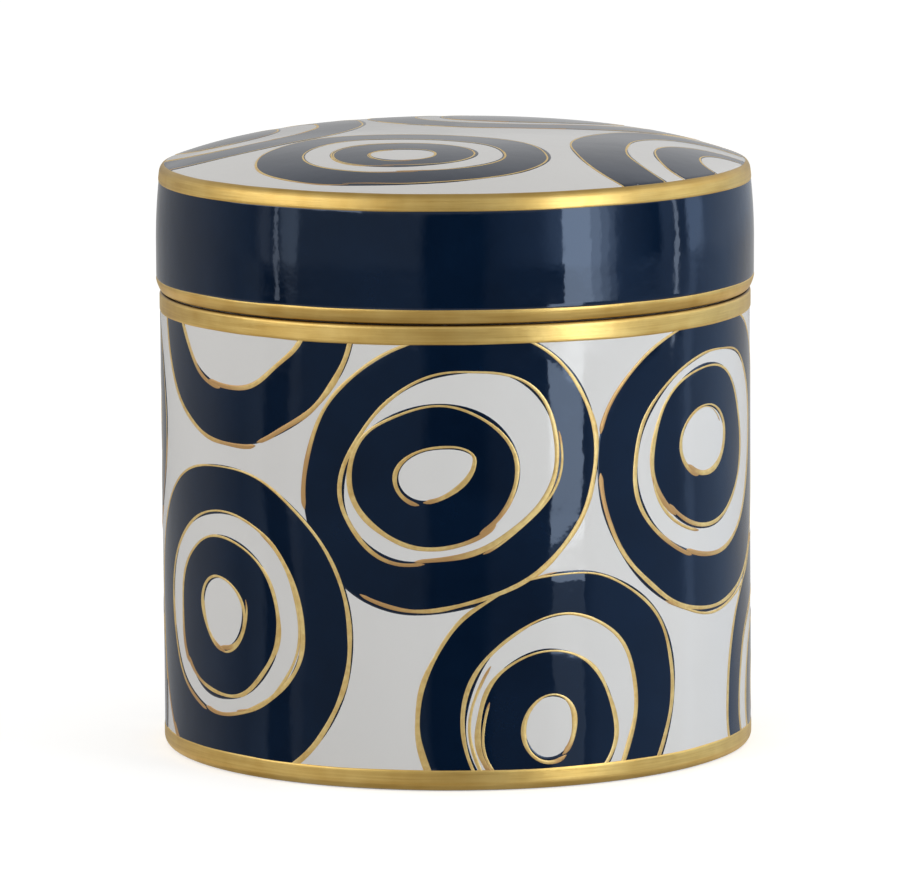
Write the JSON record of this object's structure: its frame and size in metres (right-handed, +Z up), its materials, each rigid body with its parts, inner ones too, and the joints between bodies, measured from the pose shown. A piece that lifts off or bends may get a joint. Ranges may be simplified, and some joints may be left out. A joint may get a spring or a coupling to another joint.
{
  "type": "covered vanity box",
  "caption": "Round porcelain vanity box with a lift-off domed lid over a neck, gold edge bands and hand-painted navy roundels with gold outlines.",
  "frame": {"origin": "middle of the foot, on the surface that the box stands on", "axes": "+Z up along the axis of the body and lid; -Y is the front shown in the picture; +X is to the right of the front"},
  "size_m": [0.1398, 0.1398, 0.1443],
  "materials": {
    "white_glaze": "white porcelain under a clear gloss glaze",
    "navy_glaze": "navy glaze colour, high gloss",
    "fired_gold": "brushed-on gold lustre, fired, satin"
  },
  "bodies": {
    "body": {"body_shell": "white_glaze", "body_roundels": "navy_glaze", "body_roundel_lines": "fired_gold", "body_top_band": "fired_gold", "body_foot_band": "fired_gold"},
    "lid": {"lid_shell": "white_glaze", "lid_side_band": "navy_glaze", "lid_roundels": "navy_glaze", "lid_roundel_lines": "fired_gold", "lid_crown_band": "fired_gold", "lid_rim_band": "fired_gold"}
  },
  "joints": [
    {"name": "lid_lift", "type": "slide", "parent": "body", "child": "lid", "axis": [0, 0, 1], "range_m": [0, 0.1]}
  ]
}
